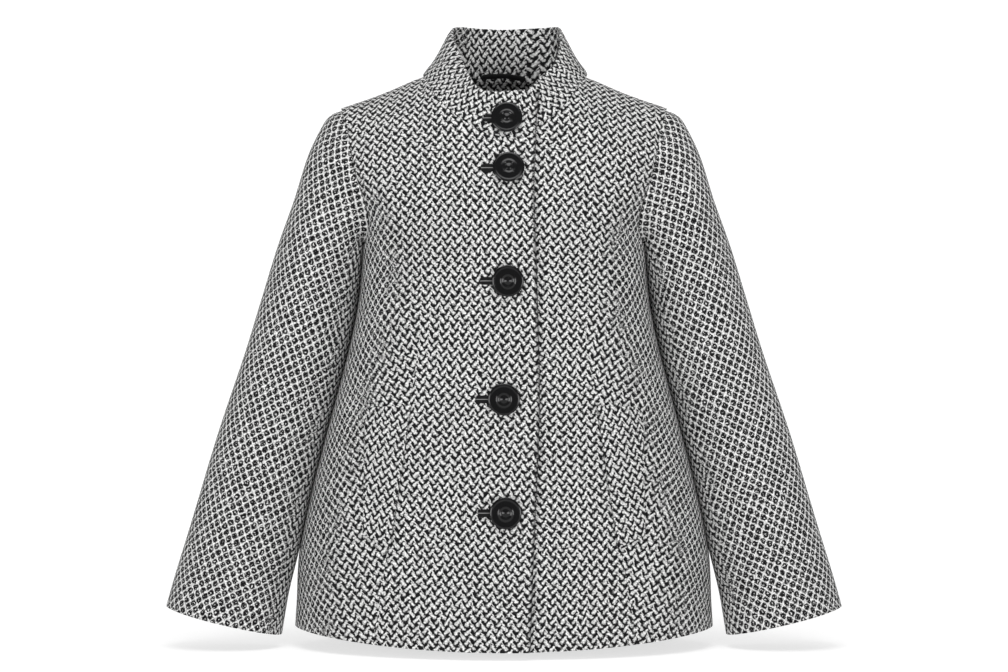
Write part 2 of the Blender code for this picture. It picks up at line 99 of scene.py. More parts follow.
# Cloth pieces: place is a point where the grain is set, right the wearer's-side direction seen from
# outside there, and grain how far the weave's upright leans to that right, in degrees
Piece = namedtuple("Piece", "node facing place right grain")
BODY_PIECES = (
    Piece("front_right", (0, -1, 0), (-70, -130, -190), (1, 0, 0), 0.0),
    Piece("front_left", (0, -1, 0), (70, -130, -190), (1, 0, 0), 4.0),
    Piece("back", (0, 1, 0), (0, 112, -250), (-1, 0, 0), 0.0),
)
SLEEVE_PIECES = (
    Piece("sleeve_right", (-1, 0, 0), (-285, -60, -400), (1, 0, 0), 22.0),
    Piece("sleeve_left", (1, 0, 0), (285, -60, -400), (1, 0, 0), -23.0),
)
COLLAR_PIECE = Piece("collar", (0, 1, 0), (0, 85, 35), (-1, 0, 0), 0.0)
WELT_PIECES = (
    Piece("pocket_welt_right", (0, -1, 0), (-140, -110, -465), (1, 0, 0), 10.5),
    Piece("pocket_welt_left", (0, -1, 0), (140, -110, -465), (1, 0, 0), -10.5),
)

# Darts of the fronts as seen from the front, from the bust down to the hem; the cloth beyond a dart
# is turned by the degrees that the dart takes out
Dart = namedtuple("Dart", "node tip foot turn")
DARTS = (
    Dart("front_right", (-95.5, -294.0), (-153.0, -672.0), 14.0),
    Dart("front_left", (92.5, -299.0), (156.0, -672.0), 14.0),
)

# In mm, where the sheet is cut beside a dart, how far below the tip that starts, and the groove:
# its depth, its width and the length over which it deepens
DART_SIDES = (-4.0, 0.0, 4.0)
DART_START = 4.0
DART_DEPTH = 1.2
DART_WIDTH = 3.0
DART_FADE = 50.0

# Angle in radians within which the side of a dart, and not the angle, says where a point belongs
DART_DOUBT = 0.3

# Soft folds, each a line seen from the front, with its width and its height out of the cloth
Fold = namedtuple("Fold", "node start end width height")
FOLDS = (
    Fold("front_right", (-150, -215), (-95, -262), 20, -2.0),
    Fold("front_left", (150, -215), (98, -258), 20, -1.8),
    Fold("front_right", (-186, -430), (-205, -690), 24, 2.4),
    Fold("front_right", (-70, -470), (-78, -700), 34, -1.8),
    Fold("front_left", (190, -420), (212, -690), 26, 2.2),
    Fold("front_left", (84, -480), (96, -700), 32, -2.0),
    Fold("back", (-120, -400), (-150, -700), 34, 3.0),
    Fold("back", (-40, -430), (-52, -700), 30, -2.4),
    Fold("back", (64, -390), (84, -700), 36, 2.8),
    Fold("back", (150, -430), (176, -700), 28, -2.2),
    Fold("back", (-90, -150), (-40, -250), 26, -1.6),
    Fold("back", (96, -150), (46, -240), 26, -1.8),
    Fold("sleeve_right", (-196, -262), (-268, -300), 13, -1.8),
    Fold("sleeve_right", (-222, -392), (-300, -360), 15, -1.6),
    Fold("sleeve_right", (-238, -452), (-318, -436), 17, -1.3),
    Fold("sleeve_left", (196, -258), (262, -300), 13, -1.7),
    Fold("sleeve_left", (220, -384), (304, -366), 15, -1.7),
    Fold("sleeve_left", (240, -470), (322, -446), 17, -1.2),
)

# In mm, how near another piece a seam is and how deep it is pressed in
SEAM_REACH = 1.0
SEAM_DEPTH = 1.3

# How far the worn-in cloth stands off its solid, in mm
COLLAR_SPREAD_LEFT = 11.5
COLLAR_SPREAD_RIGHT = 7.0
COLLAR_RAISE = 2.4
COLLAR_FOOT_DROP = 3.0
SHOULDER_PUSH = 6.0
SHOULDER_CORNER = (205.0, -44.0)
SHOULDER_SPREAD = (40.0, 16.0)
CUFF_LIFT = 3.2
CUFF_LIFT_INSIDE = 2.3

# The sleeves rest against the sides of the body: heights in mm where this starts, is full, lessens
# and ends, how far the cloth there is turned sideways, and the push of each side in mm
CONTACT_HEIGHTS = (-172.0, -204.0, -548.0, -630.0)
CONTACT_TURN = (0.5, 0.97)
CONTACT_PUSH = 4.2

# The turned edge of the cloth as a share of its thickness, and the thickness of a welt
EDGE_SHARE = 0.35
WELT_SHARE = 0.9

# Ends of a sleeve's seam under the arm, on the wearer's left, and the edges it may take at most;
# then the sides between which the folded front edge runs, darkened there by painted shade
UNDERARM_TOP = (0.167, 0.0, -0.205)
UNDERARM_FOOT = (0.264, -0.020, -0.668)
UNDERARM_EDGES = 200
FRONT_EDGE = (0.015, 0.07)

# How far the cloth is turned sideways where the weave starts to look open, and where it is so
OPEN_BODY = (0.5, 0.85)
OPEN_SLEEVE = (-0.98, -0.55)

# Button turned from one profile, from its middle out and under to its shank
Ring = namedtuple("Ring", "radius height")
BUTTON_RINGS = (
    Ring(0.0, 4.2), Ring(1.2, 4.12), Ring(2.2, 3.9), Ring(3.1, 3.58), Ring(4.0, 3.2),
    Ring(4.6, 3.05), Ring(5.3, 3.1), Ring(6.0, 3.36), Ring(6.7, 3.65), Ring(7.3, 3.84),
    Ring(7.7, 3.84), Ring(8.2, 3.7), Ring(8.9, 3.42), Ring(9.6, 3.3), Ring(11.0, 3.28),
    Ring(13.4, 3.28), Ring(14.8, 3.34), Ring(15.5, 3.46), Ring(16.0, 3.56), Ring(16.5, 3.52),
    Ring(17.1, 3.3), Ring(17.7, 3.05), Ring(18.05, 2.86), Ring(18.22, 2.6), Ring(18.22, 2.2),
    Ring(17.4, 1.5), Ring(14.0, 1.0), Ring(6.0, 0.8), Ring(5.0, 0.0), Ring(0.0, 0.0),
)
BUTTON_STEPS = 72
BUTTONS = ("1", "2", "3", "4", "5")

# Half the width of the paler slit between the lips of a buttonhole
SLIT_HALF = 0.0003

# Length of one wave of the wave texture at a scale of 1
WAVE = math.pi / 10

# White strokes in each repeat of the weave: place in the repeat, lie, half the length in mm, and
# the radius in mm at the middle with what it gains for each mm along the stroke. One falls to the
# right, one rises to the right, fuller at its foot, and a thin one bridges their tops, so that they
# read as zigzag rows
Stroke = namedtuple("Stroke", "name shift lie reach radius gain")
STROKES = (
    Stroke("fall", (0.5, 0.5, 0.0), (0.718, -0.696, 0.0), 2.85, 1.84, 0.013),
    Stroke("rise", (-0.044, -0.054, 0.0), (0.6, 0.8, 0.0), 3.36, 1.66, -0.102),
    Stroke("link", (-0.297, 0.016, 0.0), (-0.644, 0.765, 0.0), 3.12, 0.62, 0.0),
)

# Net of the open weave: lines for each repeat across and along, and where the two sets start
NET_ACROSS = 1.133
NET_ALONG = 0.88
NET_FALL_START = -0.25
NET_RISE_START = 0.31

# Stage: the floor runs back, bends up and ends as a wall
FLOOR_HEIGHT = -0.6775
FLOOR_FRONT = -7.0
FLOOR_REACH = 5.2
FLOOR_BEND = 1.2
FLOOR_BEND_STEPS = 8
FLOOR_WIDTH = 18.0
WALL_HEIGHT = 6.0

# Camera: its height, and the width of its sensor in mm
CAMERA_HEIGHT = -0.3072
SENSOR = 36.0

# Soft lights: the setting of their power, width, height, place and what they are aimed at
Light = namedtuple("Light", "name power width height place aim")
LIGHTS = (
    Light("top light", "key_watts", 2.0, 2.0, (0.0, -1.12, 2.2), (0.0, 0.05, 0.0)),
    Light("left softbox", "side_watts", 1.4, 0.95, (-1.65, -2.35, -0.17), (0.0, 0.0, -0.3)),
    Light("right softbox", "side_watts", 1.4, 0.95, (1.65, -2.35, -0.17), (0.0, 0.0, -0.3)),
    Light("backdrop light", "backdrop_watts", 3.0, 3.0, (0.0, 2.6, 2.6), (0.0, 5.6, -0.4)),
)


def linear(hex_colour):
    """Linear colour, with alpha, of an sRGB hex value."""
    parts = [int(hex_colour[k : k + 2], 16) / 255 for k in (1, 3, 5)]
    return [p / 12.92 if p <= 0.04045 else ((p + 0.055) / 1.055) ** 2.4 for p in parts] + [1.0]


class TweedSettings(bpy.types.PropertyGroup):
    """Cloth of the jacket."""

    wall: bpy.props.FloatProperty(
        name="Thickness", description="Thickness of the cloth with its backing",
        default=0.0022, min=0.0005, subtype="DISTANCE", unit="LENGTH",
    )
    collar_wall: bpy.props.FloatProperty(
        name="Collar thickness", description="Thickness of the collar, which is two layers",
        default=0.0034, min=0.0005, subtype="DISTANCE", unit="LENGTH",
    )
    repeat_across: bpy.props.FloatProperty(
        name="Repeat across", description="Width of one zigzag of the weave",
        default=0.0119, min=0.001, subtype="DISTANCE", unit="LENGTH",
    )
    repeat_along: bpy.props.FloatProperty(
        name="Repeat along", description="Distance from one white zigzag to the next",
        default=0.0110, min=0.001, subtype="DISTANCE", unit="LENGTH",
    )
    relief: bpy.props.FloatProperty(
        name="Relief", description="How far the white yarn stands above the black one",
        default=0.0007, min=0.0, subtype="DISTANCE", unit="LENGTH",
    )
    white_yarn: bpy.props.FloatVectorProperty(
        name="White yarn", description="Colour of the thick undyed yarn",
        size=4, subtype="COLOR", min=0.0, max=1.0, default=linear("#F2F2F1"),
    )
    black_yarn: bpy.props.FloatVectorProperty(
        name="Black yarn", description="Colour of the black yarn",
        size=4, subtype="COLOR", min=0.0, max=1.0, default=linear("#121213"),
    )


class TrimSettings(bpy.types.PropertyGroup):
    """Buttons, bindings and tape."""

    button_black: bpy.props.FloatVectorProperty(
        name="Button", description="Colour of the polished buttons",
        size=4, subtype="COLOR", min=0.0, max=1.0, default=linear("#060607"),
    )
    binding_black: bpy.props.FloatVectorProperty(
        name="Binding", description="Colour of the buttonholes' bindings and of the hanger loop",
        size=4, subtype="COLOR", min=0.0, max=1.0, default=linear("#0B0B0C"),
    )
    rib: bpy.props.FloatProperty(
        name="Rib", description="Distance between the ribs of the tape",
        default=0.001767, min=0.0001, subtype="DISTANCE", unit="LENGTH",
    )


class StageSettings(bpy.types.PropertyGroup):
    """Camera, floor and light."""

    camera_distance: bpy.props.FloatProperty(
        name="Camera distance", description="Distance from the camera to the side seams",
        default=3.1, min=0.5, subtype="DISTANCE", unit="LENGTH",
    )
    view_width: bpy.props.FloatProperty(
        name="View width", description="Width of the picture at the side seams",
        default=1.2096, min=0.1, subtype="DISTANCE", unit="LENGTH",
    )
    floor_white: bpy.props.FloatVectorProperty(
        name="Floor", description="Colour of the floor and the backdrop",
        size=4, subtype="COLOR", min=0.0, max=1.0, default=linear("#FBFBFB"),
    )
    key_watts: bpy.props.FloatProperty(
        name="Top light", description="Power of the soft light above the jacket",
        default=52.0, min=0.0, subtype="POWER", unit="POWER",
    )
    side_watts: bpy.props.FloatProperty(
        name="Side lights", description="Power of each softbox beside the camera",
        default=28.0, min=0.0, subtype="POWER", unit="POWER",
    )
    backdrop_watts: bpy.props.FloatProperty(
        name="Backdrop light", description="Power of the light that whitens the backdrop",
        default=110.0, min=0.0, subtype="POWER", unit="POWER",
    )
    sky: bpy.props.FloatProperty(
        name="Room light", description="Strength of the even light from all round",
        default=0.32, min=0.0,
    )


def add_node(tree, made, name, kind, settings, links):
    """Add a node to a material, set its sockets or properties and link it to nodes made before."""
    node = tree.nodes.new(kind)
    for key, value in settings.items():
        if isinstance(key, int) or key in node.inputs:
            node.inputs[key].default_value = value
        else:
            setattr(node, key, value)
    for key, (source, socket) in links.items():
        tree.links.new(made[source].outputs[socket], node.inputs[key])
    made[name] = node


def make_material(name, shader, rows):
    """Make a material from its shader's constants and its nodes, the shader's links last."""
    material = bpy.data.materials.new(name)
    material.use_nodes = True
    tree = material.node_tree
    made = {"shader": tree.nodes["Principled BSDF"]}
    for socket, value in shader.items():
        made["shader"].inputs[socket].default_value = value
    for row in rows[:-1]:
        add_node(tree, made, *row)
    for socket, (source, output) in rows[-1].items():
        tree.links.new(made[source].outputs[output], made["shader"].inputs[socket])
    return material


def stroke_rows(stroke, repeat):
    """Nodes for one stroke of each repeat: distance from its axis as a share of its radius."""
    vector, name = "ShaderNodeVectorMath", stroke.name
    middle = (-0.5 * repeat[0], -0.5 * repeat[1], 0.0)
    return (
        (name + "_cell", vector, {"operation": "ADD", 1: stroke.shift}, {0: ("cell", 0)}),
        (name + "_part", vector, {"operation": "FRACTION"}, {0: (name + "_cell", 0)}),
        (name + "_place", vector, {"operation": "MULTIPLY_ADD", 1: repeat, 2: middle},
         {0: (name + "_part", 0)}),
        (name + "_run", vector, {"operation": "DOT_PRODUCT", 1: stroke.lie},
         {0: (name + "_place", 0)}),
        (name + "_end", "ShaderNodeClamp", {"Min": -stroke.reach, "Max": stroke.reach},
         {"Value": (name + "_run", "Value")}),
        (name + "_axis", vector, {"operation": "SCALE", 0: stroke.lie},
         {"Scale": (name + "_end", 0)}),
        (name + "_gap", vector, {"operation": "DISTANCE"},
         {0: (name + "_place", 0), 1: (name + "_axis", 0)}),
        (name + "_full", "ShaderNodeMath",
         {"operation": "MULTIPLY_ADD", 1: stroke.gain, 2: stroke.radius}, {0: (name + "_end", 0)}),
        (name + "_edge", "ShaderNodeMath", {"operation": "DIVIDE"},
         {0: (name + "_gap", "Value"), 1: (name + "_full", 0)}),
    )


def tweed_material(tweed):
    """Wool tweed, woven: thick white yarn in zigzags over black yarn, matt, with a soft nap.

    The eye sees white strokes that lean left and right by turns, rounded and a little uneven, and
    from the sides of the form a net of white lines round dark diamonds.
    """
    math_node = "ShaderNodeMath"
    vector = "ShaderNodeVectorMath"
    repeat = (tweed.repeat_across / MM, tweed.repeat_along / MM, 0.0)
    rows = [
        ("weave", "ShaderNodeUVMap", {"uv_map": "weave"}, {}),
        ("open", "ShaderNodeAttribute", {"attribute_name": "open_weave"}, {}),
        # Slow wander of the rows, then the uneven yarn: waves of about 40 mm and 6 mm
        ("wander", "ShaderNodeTexNoise", {"Scale": 25.0, "Detail": 1.0}, {"Vector": ("weave", 0)}),
        ("uneven", "ShaderNodeTexNoise", {"Scale": 170.0, "Detail": 1.0}, {"Vector": ("weave", 0)}),
        ("wander_mid", vector, {"operation": "SUBTRACT", 1: (0.5, 0.5, 0.5)},
         {0: ("wander", "Color")}),
        ("uneven_mid", vector, {"operation": "SUBTRACT", 1: (0.5, 0.5, 0.5)},
         {0: ("uneven", "Color")}),
        ("wander_by", vector, {"operation": "SCALE", "Scale": 0.0035}, {0: ("wander_mid", 0)}),
        ("uneven_by", vector, {"operation": "SCALE", "Scale": 0.0036}, {0: ("uneven_mid", 0)}),
        ("moved", vector, {"operation": "ADD"}, {0: ("weave", 0), 1: ("wander_by", 0)}),
        ("thread", vector, {"operation": "ADD"}, {0: ("moved", 0), 1: ("uneven_by", 0)}),
        ("parts", "ShaderNodeSeparateXYZ", {}, {0: ("thread", 0)}),
        ("across", math_node, {"operation": "DIVIDE", 1: tweed.repeat_across}, {0: ("parts", 0)}),
        ("along", math_node, {"operation": "DIVIDE", 1: tweed.repeat_along}, {0: ("parts", 1)}),
        ("cell", "ShaderNodeCombineXYZ", {}, {0: ("across", 0), 1: ("along", 0)}),
    ]
    for stroke in STROKES:
        rows += stroke_rows(stroke, repeat)
    rows += [
        ("both", math_node, {"operation": "MINIMUM"}, {0: ("fall_edge", 0), 1: ("rise_edge", 0)}),
        ("strokes", math_node, {"operation": "MINIMUM"}, {0: ("both", 0), 1: ("link_edge", 0)}),
        # Open weave: the strokes run on and cross, white where they cross and dark between
        ("net_up", math_node, {"operation": "MULTIPLY", 1: NET_ALONG}, {0: ("along", 0)}),
        ("fall_line", math_node, {"operation": "MULTIPLY_ADD", 1: NET_ACROSS},
         {0: ("across", 0), 2: ("net_up", 0)}),
        ("fall_shift", math_node, {"operation": "ADD", 1: NET_FALL_START}, {0: ("fall_line", 0)}),
        ("fall_off", math_node, {"operation": "PINGPONG", 1: 0.5}, {0: ("fall_shift", 0)}),
        ("rise_line", math_node, {"operation": "MULTIPLY_ADD", 1: -NET_ACROSS},
         {0: ("across", 0), 2: ("net_up", 0)}),
        ("rise_shift", math_node, {"operation": "ADD", 1: NET_RISE_START}, {0: ("rise_line", 0)}),
        ("rise_off", math_node, {"operation": "PINGPONG", 1: 0.5}, {0: ("rise_shift", 0)}),
        ("net_sum", math_node, {"operation": "ADD"}, {0: ("fall_off", 0), 1: ("rise_off", 0)}),
        ("net_low", math_node, {"operation": "MINIMUM"}, {0: ("fall_off", 0), 1: ("rise_off", 0)}),
        ("net_line", math_node, {"operation": "MULTIPLY", 1: 4.6}, {0: ("net_low", 0)}),
        ("net_dots", math_node, {"operation": "MULTIPLY_ADD", 1: 1.5},
         {0: ("net_sum", 0), 2: ("net_line", 0)}),
        # A grey speck, uneven, in the middle of each dark diamond, where the yarn below shows
        ("fleck", "ShaderNodeTexNoise", {"Scale": 460.0, "Detail": 1.0}, {"Vector": ("weave", 0)}),
        ("speck_low", math_node, {"operation": "MULTIPLY_ADD", 1: 0.7},
         {0: ("fleck", 0), 2: ("net_low", 0)}),
        ("net_speck", "ShaderNodeMapRange", {
            "From Min": 0.6, "From Max": 0.9, "To Min": 0.27, "To Max": 3.4},
         {"Value": ("speck_low", 0)}),
        ("net", math_node, {"operation": "SUBTRACT"}, {0: ("net_dots", 0), 1: ("net_speck", 0)}),
        ("edge", "ShaderNodeMix", {},
         {"Factor": ("open", "Fac"), "A": ("strokes", 0), "B": ("net", 0)}),
        # Loose fibres of about 1 mm break the edge of each stroke
        ("fibre", "ShaderNodeTexNoise", {"Scale": 850.0, "Detail": 2.0}, {"Vector": ("weave", 0)}),
        ("fibre_edge", math_node, {"operation": "MULTIPLY_ADD", 1: 1.2, 2: -0.6},
         {0: ("fibre", 0)}),
        ("fibrous", math_node, {"operation": "ADD"}, {0: ("edge", 0), 1: ("fibre_edge", 0)}),
        # Slubs and flecks of about 2.2 mm: the yarn is uneven and the two colours mix
        ("fleck_edge", math_node, {"operation": "MULTIPLY_ADD", 1: 1.7, 2: -0.85},
         {0: ("fleck", 0)}),
        ("rough_edge", math_node, {"operation": "ADD"}, {0: ("fibrous", 0), 1: ("fleck_edge", 0)}),
        # The white fades softly towards each stroke's edge, partly the yarn's own soft edge and
        # partly painted shade of the rounded yarn
        ("white_part", "ShaderNodeMapRange", {
            "interpolation_type": "SMOOTHSTEP", "From Min": 1.4, "From Max": 0.4},
         {"Value": ("rough_edge", 0)}),
        ("white_full", math_node, {"operation": "POWER", 1: 1.3}, {0: ("white_part", 0)}),
        # At the folded front edge the white is darkened nearly to black: painted shade, a painted
        # shadow line along the edge
        ("fold", "ShaderNodeAttribute", {"attribute_name": "fold"}, {}),
        ("unshaded_share", math_node, {"operation": "MULTIPLY_ADD", 1: -0.9, 2: 1.0},
         {0: ("fold", "Fac")}),
        ("white_share", math_node, {"operation": "MULTIPLY"},
         {0: ("white_full", 0), 1: ("unshaded_share", 0)}),
        # The plies of the yarn, about 2 mm a turn, are brighter and duller by turns
        ("ply", "ShaderNodeTexNoise", {"Scale": 480.0, "Detail": 1.0}, {"Vector": ("weave", 0)}),
        ("tone", "ShaderNodeMapRange", {
            "From Min": 0.3, "From Max": 0.7, "To Min": 0.38, "To Max": 0.94},
         {"Value": ("ply", 0)}),
        ("white", vector, {"operation": "SCALE", 0: tweed.white_yarn[:3]},
         {"Scale": ("tone", 0)}),
        ("fibre_tone", "ShaderNodeMapRange", {
            "From Min": 0.3, "From Max": 0.7, "To Min": 0.6, "To Max": 1.5},
         {"Value": ("fibre", 0)}),
        ("black", vector, {"operation": "SCALE", 0: tweed.black_yarn[:3]},
         {"Scale": ("fibre_tone", 0)}),
        ("colour", "ShaderNodeMix", {"data_type": "RGBA"},
         {"Factor": ("white_share", 0), 6: ("black", 0), 7: ("white", 0)}),
        ("height", "ShaderNodeMapRange", {
            "interpolation_type": "SMOOTHSTEP", "From Min": 1.5, "From Max": 0.3},
         {"Value": ("rough_edge", 0)}),
        ("bump", "ShaderNodeBump", {"Strength": 0.8, "Distance": tweed.relief},
         {"Height": ("height", 0)}),
        {"Base Color": ("colour", 2), "Normal": ("bump", 0)},
    ]
    shader = {"Roughness": 0.92, "Specular IOR Level": 0.08, "Sheen Weight": 0.03,
              "Sheen Roughness": 0.5}
    return make_material("wool tweed, woven", shader, rows)


def merged_copy(node):
    """Copy of a solid with its loose triangles joined up."""
    bm = bmesh.new()
    bm.from_mesh(frame["nodes"][node].data)
    bmesh.ops.remove_doubles(bm, verts=bm.verts, dist=MERGE)
    return bm


def join_quads(bm):
    """Join the triangles in pairs, as quads."""
    bmesh.ops.join_triangles(
        bm, faces=bm.faces, angle_face_threshold=math.radians(40),
        angle_shape_threshold=math.radians(70), topology_influence=1.0,
    )


def add_object(context, name, bm):
    """Make an object of a bmesh, which is freed, and put it in the scene."""
    mesh = bpy.data.meshes.new(name)
    bm.to_mesh(mesh)
    bm.free()
    obj = bpy.data.objects.new(name, mesh)
    context.scene.collection.objects.link(obj)
    return obj


def outer_sheet(node, facing):
    """The outside of a cloth solid as a sheet of quads: its inside and its rims are taken off.

    A rim has the edges that join a point of the outside to its twin on the inside, and a face of
    the outside has one of the inside close behind it.
    """
    bm = merged_copy(node)
    facing = Vector(facing)
    tree = KDTree(len(bm.verts))
    for index, vertex in enumerate(bm.verts):
        vertex.index = index
        tree.insert(vertex.co, index)
    tree.balance()
    twin = [tree.find_n(vertex.co, 2)[1][1] for vertex in bm.verts]
    rims = set()
    for edge in bm.edges:
        one, other = (vertex.index for vertex in edge.verts)
        if twin[one] == other and twin[other] == one and edge.calc_length() > THINNEST:
            rims.update(edge.link_faces)
    solid = BVHTree.FromBMesh(bm)
    walls = set()
    for face in set(bm.faces) - rims:
        start = face.calc_center_median() - face.normal * MERGE
        behind = solid.ray_cast(start, -face.normal, THICKEST)[1]
        if behind and behind.dot(face.normal) < AWAY:
            walls.add(face)
    outward = [face for face in walls if face.normal.dot(facing) > OUTWARD]
    seed = max(outward, key=lambda face: face.calc_center_median().dot(facing))
    kept = {seed}
    waiting = [seed]
    while waiting:
        for edge in waiting.pop().edges:
            for face in edge.link_faces:
                if face in walls and face not in kept:
                    kept.add(face)
                    waiting.append(face)
    bmesh.ops.delete(bm, geom=[face for face in bm.faces if face not in kept], context="FACES")
    join_quads(bm)
    return bm


def mark_seams(bm, node):
    """Note which edge points lie on a seam with another piece, apart from the neck's flat seam."""
    names = [name for name in CLOTH_NODES if name not in (node, "collar")]
    others = [vertex.co for name in names for vertex in frame["nodes"][name].data.vertices]
    tree = KDTree(len(others))
    for index, place in enumerate(others):
        tree.insert(place, index)
    tree.balance()
    seam = bm.verts.layers.float.new("seam")
    for vertex in bm.verts:
        near = tree.find(vertex.co)[2] < SEAM_REACH * MM
        if near and vertex.is_boundary and node != "collar":
            vertex[seam] = 1.0


def mark_underarm_seam(bm, side):
    """Mark the seam of a sleeve along which it is laid flat, from the armhole to the cuff."""
    rims = [vertex for vertex in bm.verts if vertex.is_boundary]
    mirror = Vector((side, 1.0, 1.0))
    top = Vector(UNDERARM_TOP) * mirror
    foot = Vector(UNDERARM_FOOT) * mirror
    current = min(rims, key=lambda vertex: (vertex.co - top).length)
    last = min(rims, key=lambda vertex: (vertex.co - foot).length)
    for _ in range(UNDERARM_EDGES):
        if current == last:
            return
        edge = min(
            current.link_edges, key=lambda e: (e.other_vert(current).co - last.co).length
        )
        edge.seam = True
        current = edge.other_vert(current)
    raise RuntimeError("the sleeve's seam doesn't reach the cuff")


def refine(context, obj):
    """Subdivide an object smoothly and keep the fine mesh as its own."""
    smooth = obj.modifiers.new("smooth", "SUBSURF")
    smooth.levels = SMOOTH_LEVELS
    smooth.render_levels = SMOOTH_LEVELS
    smooth.boundary_smooth = "PRESERVE_CORNERS"
    depsgraph = context.evaluated_depsgraph_get()
    fine = bpy.data.meshes.new_from_object(
        obj.evaluated_get(depsgraph), preserve_all_data_layers=True, depsgraph=depsgraph
    )
    coarse = obj.data
    obj.modifiers.clear()
    obj.data = fine
    bpy.data.meshes.remove(coarse)
    fine.name = obj.name


def lay_flat(context, name, bm, layers):
    """Make an object of a sheet, lay it flat for its cut and its weave and subdivide it.

    The weave of a front is laid flat from a form with a shallower chest, because its repeat looks
    as wide on the turned part of the chest as in the middle.
    """
    obj = add_object(context, name, bm)
    mesh = obj.data
    for other in context.view_layer.objects:
        other.select_set(other == obj)
    context.view_layer.objects.active = obj
    depths = [vertex.co.y for vertex in mesh.vertices]
    for layer in layers:
        mesh.uv_layers.active = mesh.uv_layers.new(name=layer)
        if len(layers) > 1 and layer == "weave":
            for vertex in mesh.vertices:
                eased = CHEST_DEPTH + (vertex.co.y - CHEST_DEPTH) * CHEST_EASE
                vertex.co.y = max(vertex.co.y, eased)
        bpy.ops.object.mode_set(mode="EDIT")
        bpy.ops.mesh.select_all(action="SELECT")
        bpy.ops.uv.unwrap(method="MINIMUM_STRETCH", margin=0.0)
        bpy.ops.object.mode_set(mode="OBJECT")
    for vertex, depth in zip(mesh.vertices, depths):
        vertex.co.y = depth
    refine(context, obj)
    return obj


def set_grain(bm, piece, layer):
    """Bring a flat cut to its real size and turn it so that the weave's upright is the grain."""
    weave = bm.loops.layers.uv[layer]
    real = sum(face.calc_area() for face in bm.faces)
    loops = [loop for face in bm.faces for loop in face.loops]
    flat = np.array([loop[weave].uv for loop in loops])
    points = np.array([loop.vert.co for loop in loops])
    distances = np.linalg.norm(points - np.array(piece.place) * MM, axis=1)
    near = np.argsort(distances)[:GRAIN_POINTS]
    spread = points[near] - points[near].mean(0)
    slope = np.linalg.lstsq(spread, flat[near] - flat[near].mean(0), rcond=None)[0]
    outward = np.linalg.svd(spread, full_matrices=False)[2][2]
    right = np.array(piece.right, dtype=float)
    right -= outward * (outward @ right)
    upright = np.array([0.0, 0.0, 1.0])
    upright -= outward * (outward @ upright)
    scale = np.linalg.norm(upright) / np.linalg.norm(upright @ slope)
    flat *= scale
    slope *= scale
    if np.linalg.det(np.array([right @ slope, upright @ slope])) < 0:
        flat[:, 0] *= -1
        slope[:, 0] *= -1
    lean = math.radians(piece.grain)
    grain = (upright * math.cos(lean) + right * math.sin(lean)) @ slope
    turn = math.pi / 2 - math.atan2(grain[1], grain[0])
    cos, sin = math.cos(turn), math.sin(turn)
    flat = flat @ np.array([[cos, sin], [-sin, cos]])
    flat -= flat[near[0]]
    for loop, place in zip(loops, flat):
        loop[weave].uv = place
    return flat.max(0) - flat.min(0), real


def sew_dart(bm, dart):
    """Cut the sheet along a dart, turn the weave beyond it and press a groove where it is sewn."""
    weave = bm.loops.layers.uv["weave"]
    tip = Vector((dart.tip[0], 0.0, dart.tip[1])) * MM
    foot = Vector((dart.foot[0], 0.0, dart.foot[1])) * MM
    line = (foot - tip).normalized()
    beside = Vector((line.z, 0.0, -line.x))
    for offset in DART_SIDES:
        below = [
            face for face in bm.faces
            if (face.calc_center_median() - tip).dot(line) > DART_START * MM
        ]
        geom = set(below)
        for face in below:
            geom.update(face.edges)
            geom.update(face.verts)
        bmesh.ops.bisect_plane(
            bm, geom=list(geom), dist=2 * MERGE, plane_co=tip + beside * offset * MM,
            plane_no=beside,
        )
    outer = math.copysign(1.0, dart.tip[0])
    near = min(bm.verts, key=lambda v: Vector((v.co.x - tip.x, 0.0, v.co.z - tip.z)).length)
    start = near.link_loops[0][weave].uv.copy()
    hem = min(bm.verts, key=lambda v: Vector((v.co.x - foot.x, 0.0, v.co.z - foot.z)).length)
    ray = (hem.link_loops[0][weave].uv - start).normalized()
    full = math.radians(dart.turn)
    for face in bm.faces:
        centre = face.calc_center_median() - tip
        centre.y = 0.0
        beyond = centre.dot(line) > 0 and centre.x * outer > line.x / line.z * centre.z * outer
        for loop in face.loops:
            place = loop[weave].uv - start
            angle = math.atan2(ray.cross(place), ray.dot(place)) * -outer
            if angle < (DART_DOUBT if beyond else -DART_DOUBT):
                angle += 2 * math.pi
            part = min(max(angle / math.pi - 1.0, 0.0), 1.0)
            turn = full * part * part * (3 - 2 * part) * outer
            cos, sin = math.cos(turn), math.sin(turn)
            loop[weave].uv = start + Vector(
                (place.x * cos - place.y * sin, place.x * sin + place.y * cos)
            )
    for vertex in bm.verts:
        place = Vector((vertex.co.x, 0.0, vertex.co.z)) - tip
        down = place.dot(line)
        if down > 0:
            off = place.dot(beside) / (DART_WIDTH * MM)
            vertex.co -= vertex.normal * (
                DART_DEPTH * MM * math.exp(-off * off) * min(down / (DART_FADE * MM), 1.0)
            )


def fold_height(piece, place):
    """How far the soft folds of a piece lift its cloth at a place."""
    height = 0.0
    for fold in FOLDS:
        if fold.node != piece.node:
            continue
        start = np.array(fold.start) * MM
        run = np.array(fold.end) * MM - start
        offset = np.array([place.x, place.z]) - start
        part = offset @ run / (run @ run)
        if not 0.0 < part < 1.0:
            continue
        off = (offset[0] * run[1] - offset[1] * run[0]) / np.linalg.norm(run) / (fold.width * MM)
        height += fold.height * MM * math.exp(-off * off) * math.sin(math.pi * part) ** 2
    return height


def ease(value, low, high):
    """Smooth step from 0 at low to 1 at high."""
    part = min(max((value - low) / (high - low), 0.0), 1.0)
    return part * part * (3 - 2 * part)


